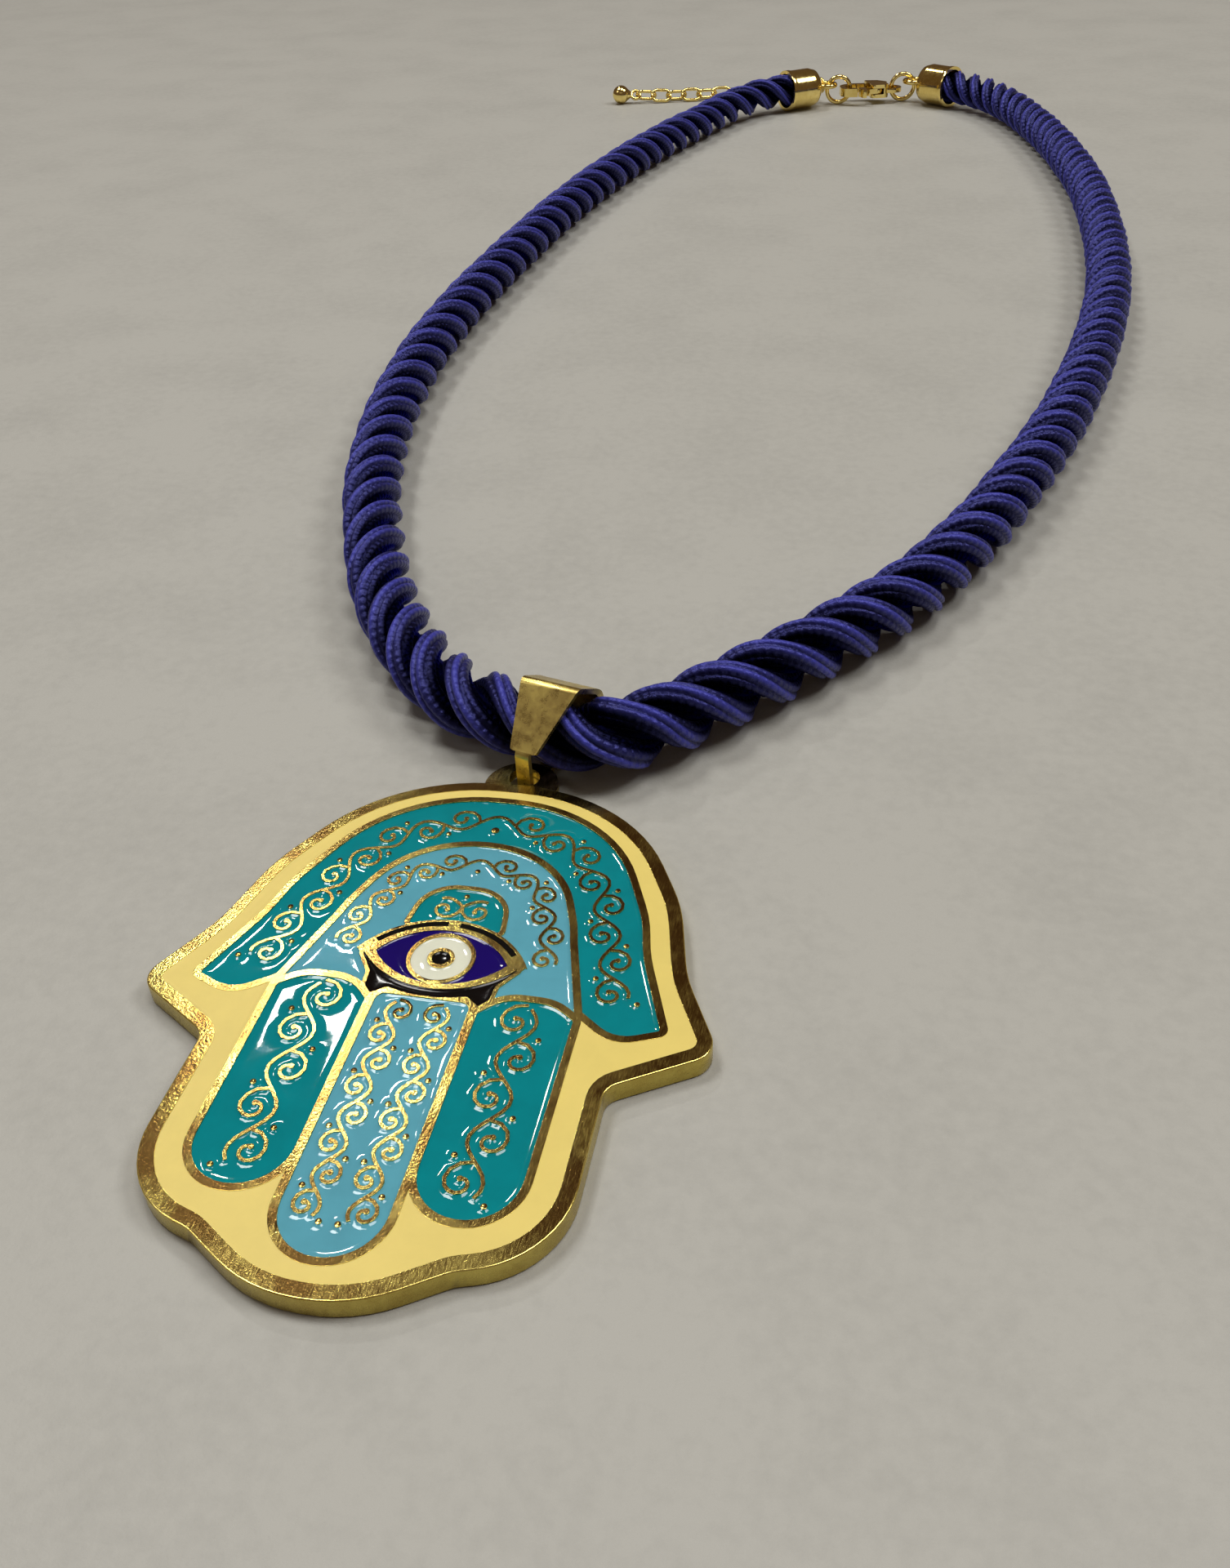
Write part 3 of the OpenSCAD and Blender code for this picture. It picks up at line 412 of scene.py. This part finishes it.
def ropeMaterial(s):
    look, tree, shader, where = newMaterial("ropeSatin", Roughness=0.36, Specular_IOR_Level=1.0,
        Specular_Tint=s["shine"], Sheen_Weight=0.08, Sheen_Roughness=0.35, Sheen_Tint=s["fuzz"])
    uv = addNode(tree, "ShaderNodeUVMap", uv_map="alongCord").outputs["UV"]
    parts = addNode(tree, "ShaderNodeSeparateXYZ")
    join(tree, uv, parts.inputs["Vector"])
    # the thread wound round each fine cord: rounded bands along its length, with fibres on them
    wobble = noiseNode(tree, uv, 3.0, 2.0, 0.5)
    along = mathNode(tree, "MULTIPLY_ADD", wobble, s["unevenWrap"], parts.outputs["X"])
    wave = mathNode(tree, "SINE", mathNode(tree, "MULTIPLY", along, 2 * math.pi / s["wrap"]))
    fibre = noiseNode(tree, where, 4200.0, 3.0, 0.7)
    height = mathNode(tree, "MULTIPLY_ADD", wave, s["threads"], fibre)
    # painted shade: the colour is darkest between the cords and between the plies, and full on their backs, by
    # the distance from the rope's middle
    reach = addNode(tree, "ShaderNodeAttribute", attribute_name="reach").outputs["Fac"]
    grain = useGroup(tree, softGrain, where, Spots=500.0)
    depth = mapRange(tree, reach, (s["paintedShadeReach"], s["paintedShadeEndReach"]), (0.0, s["depthShare"]))
    shade = mathNode(tree, "MULTIPLY_ADD", grain.outputs["Mask"], s["mottle"], depth)
    paintedShadeColours = [tuple(c * share for c in s["colour"]) for share in (s["paintedShadeShare"], s["paintedHalfShadeShare"], 1.0)]
    join(tree, ramp(tree, shade, list(zip(s["stops"], paintedShadeColours))), shader.inputs["Base Color"])
    # painted shade: between the plies the surface turns to black metal, so it shows no reflection there
    paintedShadeMetallic = mapRange(tree, reach, (s["paintedShadeReach"], s["shineReach"]), (1.0, 0.0))
    join(tree, paintedShadeMetallic, shader.inputs["Metallic"])
    join(tree, bumpFrom(tree, height, s["bump"], 0.8), shader.inputs["Normal"])
    return look


ropePiece, ropePath, ropeLength = addRope(rope)
dress(ropePiece, ropeMaterial(satin), stands=["rope"])
print("rope laid:", round(ropeLength, 1), "mm,", len(ropePiece.data.polygons), "faces")


# Metal pieces: merged copies of the solids, with their sharp edges rounded

sharpTurn = math.radians(38)           # an edge that turns more than this is a sharp one


def pickOnly(piece):
    bpy.ops.object.select_all(action="DESELECT")
    piece.select_set(True)
    bpy.context.view_layer.objects.active = piece


def mergedCopy(nodeName, pieceName):
    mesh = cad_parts[nodeName].data.copy()
    mesh.name = pieceName
    piece = bpy.data.objects.new(pieceName, mesh)
    bpy.context.scene.collection.objects.link(piece)
    pickOnly(piece)
    bpy.ops.mesh.customdata_custom_splitnormals_clear()
    bpy.ops.object.mode_set(mode="EDIT")
    bpy.ops.mesh.select_all(action="SELECT")
    bpy.ops.mesh.remove_doubles(threshold=0.000002)
    bpy.ops.mesh.dissolve_limited(angle_limit=math.radians(0.5))
    bpy.ops.object.mode_set(mode="OBJECT")
    return piece


def chooseEdges(mesh, test):
    # the test sees the two ends of an edge and the two faces beside it
    sides = {}
    for face in mesh.polygons:
        for key in face.edge_keys:
            sides.setdefault(key, []).append(face)
    chosen = []
    for edge in mesh.edges:
        two = sides.get(tuple(sorted(edge.vertices)), [])
        ends = [mesh.vertices[v].co for v in edge.vertices]
        chosen.append(len(two) == 2 and bool(test(ends, two[0], two[1])))
    return chosen


def bevelWhere(piece, test, width, segments=2):
    chosen = chooseEdges(piece.data, test)
    pickOnly(piece)
    bpy.ops.object.mode_set(mode="EDIT")
    bpy.ops.mesh.select_mode(type="EDGE")
    bpy.ops.mesh.select_all(action="DESELECT")
    bpy.ops.object.mode_set(mode="OBJECT")
    piece.data.edges.foreach_set("select", chosen)
    bpy.ops.object.mode_set(mode="EDIT")
    if any(chosen):
        bpy.ops.mesh.bevel(offset=width * mm, segments=segments, profile=0.5, affect="EDGES", clamp_overlap=True)
    bpy.ops.object.mode_set(mode="OBJECT")
    return sum(chosen)


def sharpEdge(ends, one, two):
    return one.normal.angle(two.normal, 0) > sharpTurn


def smoothBy(piece, angle):
    pickOnly(piece)
    bpy.ops.object.shade_smooth_by_angle(angle=math.radians(angle))
    bpy.ops.object.modifier_add(type="WEIGHTED_NORMAL")
    keeper = piece.modifiers[-1]
    keeper.keep_sharp = True           # flats stay flat beside rounded edges
    bpy.ops.object.modifier_apply(modifier=keeper.name)


plate = {
    "top": 1.5,                        # mm, height of the metal lines
    "outlineEdge": 0.11,               # rounding of the outline's upper edge
    "lineEdge": 0.05,                  # rounding of the metal lines and scrolls
    "underEdge": 0.14,
    "flat": 0.9,                       # a face whose normal has more z than this is flat
    "steep": 0.3,                      # and with less than this a wall
    "faceUp": 0.985,                   # faces that look up more than this get the flat gold, painted dark as a reflection
    "edgeUp": 0.3,                     # and those above this the edge gold, with a painted highlight; the rest the wall gold, in painted shade
}


def plateEdge(mesh, kind):
    def test(ends, one, two):
        if not sharpEdge(ends, one, two):
            return False
        flats = [f for f in (one, two) if abs(f.normal.z) > plate["flat"]]
        walls = [f for f in (one, two) if abs(f.normal.z) < plate["steep"]]
        if len(flats) != 1 or len(walls) != 1:
            return False
        foot = min(mesh.vertices[v].co.z for v in walls[0].vertices)
        low, high = sorted(end.z for end in ends)
        if kind == "under":
            return high < 0.05 * mm
        upper = low > (plate["top"] - 0.03) * mm and flats[0].normal.z > 0
        return upper and (foot < 0.2 * mm if kind == "outline" else foot > 0.4 * mm)
    return test


def goldMaterial(name, s):
    rough, spread = s["rough"], s.get("spread", 0.05)
    look, tree, shader, where = newMaterial(name, Metallic=1.0, Roughness=rough)
    brushed = useGroup(tree, brushMarks, where, Lines=s["lines"], Stretch=s["stretch"],
                       Pits=s["pits"], Pit_Depth=s["pitDepth"])
    streaks = brushed.outputs["Streaks"]
    patch = mathNode(tree, "MULTIPLY_ADD", streaks, 0.5, brushed.outputs["Patches"])
    stops = zip(s.get("marks", (0.55, 0.9)), (s["dark"], s["bright"]))
    join(tree, ramp(tree, patch, list(stops)), shader.inputs["Base Color"])
    polish = mapRange(tree, streaks, (0.3, 0.7), (max(0.04, rough - spread), rough + spread))
    join(tree, polish, shader.inputs["Roughness"])
    join(tree, bumpFrom(tree, brushed.outputs["Height"], s["bump"]), shader.inputs["Normal"])
    return look


# marks: where dark turns to bright in the patches; lines and pits: how fine they are, per m
goldFinishes = {
    # the plate's three golds are one metal: the flats painted dark for the room they reflect, the rounded edges
    # painted bright, the walls painted in shade
    "flatGoldPaintedDark": {"bright": (0.74, 0.6, 0.17), "dark": (0.28, 0.165, 0.045), "rough": 0.17, "lines": 14000.0,
                  "stretch": 0.1, "pits": 7000.0, "pitDepth": 3.0, "bump": 0.0000028, "marks": (0.68, 0.92)},
    "edgeGoldPaintedHighlight": {"bright": (1.0, 0.84, 0.26), "dark": (0.85, 0.64, 0.15), "rough": 0.2, "lines": 3000.0,
                 "stretch": 0.6, "pits": 6000.0, "pitDepth": 1.0, "bump": 0.000003},
    "sideGoldPaintedShade": {"bright": (0.62, 0.5, 0.12), "dark": (0.46, 0.34, 0.07), "rough": 0.28, "lines": 3000.0,
                 "stretch": 0.6, "pits": 2500.0, "pitDepth": 0.4, "bump": 0.000003},
    "claspGold": {"bright": (1.0, 0.8, 0.3), "dark": (0.8, 0.6, 0.18), "rough": 0.14, "lines": 2500.0,
                  "stretch": 0.5, "pits": 2500.0, "pitDepth": 0.3, "bump": 0.000002},
    "bailGold": {"bright": (0.84, 0.67, 0.2), "dark": (0.6, 0.45, 0.14), "rough": 0.32, "spread": 0.1,
                 "lines": 1300.0, "stretch": 0.8, "pits": 3000.0, "pitDepth": 0.8, "bump": 0.000004,
                 "marks": (0.62, 0.86)},
}
golds = {name: goldMaterial(name, s) for name, s in goldFinishes.items()}

platePiece = mergedCopy("hand_plate", "polishedPlate")
print("plate merged:", len(platePiece.data.polygons), "faces")
for kind, segments in (("outline", 3), ("line", 2), ("under", 2)):
    test = plateEdge(platePiece.data, kind)
    print(kind, "edges rounded:", bevelWhere(platePiece, test, plate[kind + "Edge"], segments))
smoothBy(platePiece, 40)
dress(platePiece, golds["flatGoldPaintedDark"], stands=["hand_plate"])
platePiece.data.materials.append(golds["edgeGoldPaintedHighlight"])
platePiece.data.materials.append(golds["sideGoldPaintedShade"])
# painted light: each face takes one of the three golds by which way it looks
for face in platePiece.data.polygons:
    up = face.normal.z
    face.material_index = 0 if up > plate["faceUp"] else 1 if up > plate["edgeUp"] else 2


def metalCopy(nodeName, pieceName, width, gold, body="necklace", segments=2):
    piece = mergedCopy(nodeName, pieceName)
    bevelWhere(piece, sharpEdge, width, segments)
    smoothBy(piece, 35)
    dress(piece, golds[gold], body=body, stands=[nodeName])


metalCopy("bail", "foldedBail", 0.12, "bailGold", segments=3)
metalCopy("left_cap", "leftCap", 0.12, "claspGold")
metalCopy("right_cap", "rightCap", 0.12, "claspGold")
metalCopy("clasp_body", "claspBody", 0.12, "claspGold")
metalCopy("clasp_lever", "claspLever", 0.08, "claspGold", body="lever")
for nodeName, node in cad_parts.items():
    if nodeName.endswith("_ring") or nodeName.startswith("link_") or nodeName == "chain_drop":
        node.data.materials.clear()
        node.data.materials.append(golds["claspGold"])
print("metal pieces finished")


# Enamel: poured sheets that rise a little where they touch the metal

enamel = {
    "wall": 0.07,                      # mm below the metal lines where it touches them
    "sink": 0.1,                       # how much lower it lies away from them
    "climb": 0.17,                     # how far the rise reaches
    "under": 1.7,                      # cells that a sheet goes in under the metal around it
    "floor": 0.955,                    # mm, where a sheet's underside lies
    "ripple": (0.45, 0.002),           # how often per mm and how high in mm a sheet waves
}


def topOutline(node):
    # the triangles of a filling's upper face, and points along its border
    mesh = node.data
    co = np.zeros(len(mesh.vertices) * 3)
    mesh.vertices.foreach_get("co", co)
    co = co.reshape(-1, 3)
    top = co[:, 2].max()
    keys = np.round(co[:, :2] / 2e-6).astype(np.int64)
    seen, count = {}, {}
    verts = []
    for face in mesh.polygons:
        ids = list(face.vertices)
        if face.normal.z > 0.9 and min(co[i, 2] for i in ids) > top - 2e-5:
            verts.extend(tuple(co[i]) for i in ids)
            names = [tuple(keys[i]) for i in ids]
            for i in range(len(ids)):
                a, b = names[i], names[(i + 1) % len(ids)]
                key = (a, b) if a < b else (b, a)
                count[key] = count.get(key, 0) + 1
                seen[key] = (co[ids[i]], co[ids[(i + 1) % len(ids)]])
    border = []
    for key, times in count.items():
        if times == 1:
            a, b = seen[key]
            steps = max(1, int(np.linalg.norm(b - a) / (0.04 * mm)))
            border.extend([a + (b - a) * k / steps for k in range(steps)])
    tree = BVHTree.FromPolygons(verts, [(k, k + 1, k + 2) for k in range(0, len(verts), 3)])
    return tree, border, top


def pourEnamel(nodeName, pieceName, cell, look, slot, wall=enamel["wall"], sink=enamel["sink"]):
    # a grid of cells over the filling, each point at the height that its way from the metal gives it
    tree, border, top = topOutline(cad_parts[nodeName])
    near = KDTree(len(border))
    for i, point in enumerate(border):
        near.insert((point[0], point[1], 0), i)
    near.balance()
    low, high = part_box(nodeName)
    reach = enamel["under"] * cell * mm
    nx, ny = [int((b - a + 2 * reach) / (cell * mm)) + 2 for a, b in ((low.x, high.x), (low.y, high.y))]
    bpy.ops.object.select_all(action="DESELECT")
    bpy.ops.mesh.primitive_grid_add(x_subdivisions=nx, y_subdivisions=ny, size=1, location=(0, 0, 0))
    piece = bpy.context.object
    piece.name = piece.data.name = pieceName
    mesh = piece.data
    co = np.zeros(len(mesh.vertices) * 3)
    mesh.vertices.foreach_get("co", co)
    co = co.reshape(-1, 3)
    co[:, 0] = co[:, 0] * nx * cell * mm + (low.x + high.x) / 2
    co[:, 1] = co[:, 1] * ny * cell * mm + (low.y + high.y) / 2
    outside = np.zeros(len(co), bool)
    level = (plate["top"] - wall) * mm
    often, swing = enamel["ripple"]
    for i, (x, y, _) in enumerate(co):
        away = near.find((x, y, 0))[2]
        inside = tree.ray_cast(Vector((x, y, top + mm)), Vector((0, 0, -1)))[0] is not None
        outside[i] = not inside and away > reach
        depth = (away / mm + 0.03) if inside else 0.0
        fall = sink * (1 - math.exp(-depth / enamel["climb"]))
        wave = swing * noise.noise(Vector((x / mm * often, y / mm * often, 3.1))) * min(1, depth)
        co[i, 2] = level - (fall + wave) * mm
    mesh.vertices.foreach_set("co", co.ravel())
    mesh.update()
    cells = np.array([list(face.vertices) for face in mesh.polygons])
    closeSheet(piece, outside[cells].any(axis=1))
    dress(piece, look, stands=[nodeName])
    return piece


def closeSheet(piece, dropped):
    # the cells outside go, then the border is drawn down to the recess's floor and closed there
    pickOnly(piece)
    mesh = piece.data
    bpy.ops.object.mode_set(mode="EDIT")
    bpy.ops.mesh.select_mode(type="FACE")
    bpy.ops.mesh.select_all(action="DESELECT")
    bpy.ops.object.mode_set(mode="OBJECT")
    mesh.polygons.foreach_set("select", dropped)
    bpy.ops.object.mode_set(mode="EDIT")
    bpy.ops.mesh.delete(type="FACE")
    bpy.ops.mesh.select_mode(type="VERT")
    bpy.ops.mesh.select_all(action="DESELECT")
    bpy.ops.mesh.select_loose()
    bpy.ops.mesh.delete(type="VERT")
    bpy.ops.mesh.select_mode(type="EDGE")
    bpy.ops.mesh.select_all(action="DESELECT")
    bpy.ops.mesh.select_non_manifold(extend=False, use_wire=False, use_boundary=True,
                                     use_multi_face=False, use_non_contiguous=False, use_verts=False)
    bpy.ops.mesh.extrude_edges_move(TRANSFORM_OT_translate={"value": (0, 0, -0.3 * mm)})
    bpy.ops.object.mode_set(mode="OBJECT")
    for v in mesh.vertices:
        if v.select:
            v.co.z = enamel["floor"] * mm
    bpy.ops.object.mode_set(mode="EDIT")
    bpy.ops.mesh.edge_face_add()
    bpy.ops.mesh.select_all(action="SELECT")
    bpy.ops.mesh.normals_make_consistent(inside=False)
    bpy.ops.object.mode_set(mode="OBJECT")
    smoothBy(piece, 50)


def enamelMaterial(name, colour, rough=0.03, spread=0.12, specular=0.5):
    look, tree, shader, where = newMaterial(name, Roughness=rough, Specular_IOR_Level=specular)
    grain = useGroup(tree, softGrain, where, Spots=350.0).outputs["Mask"]
    light = tuple(min(1, c * (1 + spread)) for c in colour)
    deep = tuple(c * (1 - spread) for c in colour)
    join(tree, ramp(tree, grain, [(0.35, deep), (0.65, light)]), shader.inputs["Base Color"])
    join(tree, bumpFrom(tree, grain, 0.00001, 0.3), shader.inputs["Normal"])
    return look


teal = enamelMaterial("tealEnamel", (0.0, 0.235, 0.27), spread=0.06)
sky = enamelMaterial("skyEnamel", (0.11, 0.39, 0.5), spread=0.05)
cream = enamelMaterial("creamEnamel", (0.84, 0.68, 0.19), rough=0.38, spread=0.03, specular=0.3)
cobalt = enamelMaterial("cobaltEnamel", (0.009, 0.002, 0.13), spread=0.06)
ivory = enamelMaterial("ivoryEnamel", (0.8, 0.83, 0.68), spread=0.03)
jet = enamelMaterial("jetEnamel", (0.004, 0.003, 0.003), rough=0.1, specular=0.3)
lidJet = enamelMaterial("lidEnamel", (0.004, 0.003, 0.002), rough=0.5, specular=0.04)   # thin lines shine little

# filling, piece, cell in mm, finish, slot, and its own wall and sink where they differ;
# the lids' black lies flush and laps a little over the metal
pours = [
    ("border_enamel", "borderEnamel", 0.12, cream, "border_enamel", 0.03, 0.01),
    ("outer_arch_enamel", "outerArchEnamel", 0.1, teal, "teal_enamel"),
    ("inner_arch_enamel", "innerArchEnamel", 0.1, sky, "sky_enamel"),
    ("brow_enamel", "browEnamel", 0.08, teal, "teal_enamel"),
    ("left_finger_enamel", "leftFingerEnamel", 0.1, teal, "teal_enamel"),
    ("middle_finger_enamel", "middleFingerEnamel", 0.1, sky, "sky_enamel"),
    ("right_finger_enamel", "rightFingerEnamel", 0.1, teal, "teal_enamel"),
    ("left_eye_enamel", "leftEyeEnamel", 0.06, cobalt, "cobalt_enamel"),
    ("right_eye_enamel", "rightEyeEnamel", 0.06, cobalt, "cobalt_enamel"),
    ("iris_enamel", "irisEnamel", 0.06, ivory, "white_enamel"),
    ("pupil_enamel", "pupilEnamel", 0.05, jet, "black_enamel"),
    ("left_lid_enamel", "leftLidEnamel", 0.025, lidJet, "black_enamel", -0.004, -0.01),
    ("right_lid_enamel", "rightLidEnamel", 0.025, lidJet, "black_enamel", -0.004, -0.01),
    ("lower_lid_enamel", "lowerLidEnamel", 0.06, jet, "black_enamel"),
]
for job in pours:
    sheet = pourEnamel(*job)
    print("poured", job[1], len(sheet.data.polygons), "faces")


# Table and light

table = {
    "size": 6.0,                       # m
    "place": (0, 0.5, 0),
    "colour": (0.435, 0.435, 0.4),
    "speckShare": 0.8,
}


def addTable(s):
    bpy.ops.object.select_all(action="DESELECT")
    bpy.ops.mesh.primitive_plane_add(size=s["size"], location=s["place"])
    floor = bpy.context.object
    floor.name = "paleTable"
    look, tree, shader, where = newMaterial("paleTable", Roughness=0.55)
    clouds = useGroup(tree, softGrain, where, Spots=60.0)
    specks = useGroup(tree, softGrain, where, Spots=900.0, Grain=3500.0)
    mottle = mathNode(tree, "MULTIPLY_ADD", specks.outputs["Mask"], s["speckShare"], clouds.outputs["Mask"])
    light = tuple(c * 1.05 for c in s["colour"])
    deep = tuple(c * 0.93 for c in s["colour"])
    join(tree, ramp(tree, mottle, [(0.6, deep), (1.2, light)]), shader.inputs["Base Color"])
    join(tree, bumpFrom(tree, specks.outputs["Height"], 0.00006, 0.5), shader.inputs["Normal"])
    floor.data.materials.append(look)


lights = {
    # azimuth (0 beyond the piece, positive to the right) and elevation in degrees; m away, wide and high; W
    "lamp": (-32, 45, 1.5, 0.1, 0.06, 1.6),
    "keyLight": (-62, 64, 1.2, 0.3, 0.3, 4.0),
    "overLight": (60, 78, 1.2, 0.4, 0.4, 4.5),
    "rightLight": (72, 50, 1.2, 0.35, 0.35, 4.0),
    "leftLight": (-110, 42, 1.2, 0.4, 0.4, 0.7),
    "frontFill": (170, 40, 1.2, 0.9, 0.4, 0.2),
}
lampTint = (1, 0.98, 0.95)
fillTint = (1, 0.96, 0.9)
room = {"colour": (0.38, 0.255, 0.175, 1), "strength": 0.25}


def aimedLight(name, azimuth, elevation, distance, width, height, power, colour):
    a, e = math.radians(azimuth), math.radians(elevation)
    way = Vector((math.sin(a) * math.cos(e), math.cos(a) * math.cos(e), math.sin(e)))
    bpy.ops.object.light_add(type="AREA", location=way * distance)
    lamp = bpy.context.object
    lamp.name = name
    lamp.rotation_euler = way.to_track_quat("Z", "Y").to_euler()
    lamp.data.shape = "RECTANGLE"
    lamp.data.size, lamp.data.size_y = width, height
    lamp.data.energy = power
    lamp.data.color = colour


def addRoom(s):
    world = bpy.data.worlds.new("softRoom")
    world.use_nodes = True
    glow = world.node_tree.nodes["Background"]
    glow.inputs["Color"].default_value = s["colour"]
    glow.inputs["Strength"].default_value = s["strength"]
    bpy.context.scene.world = world


addTable(table)
for name, values in lights.items():
    aimedLight(name, *values, fillTint if name == "frontFill" else lampTint)
addRoom(room)
bpy.context.scene.view_settings.view_transform = "Standard"   # colours as they were matched to the photograph
print("table and light set")
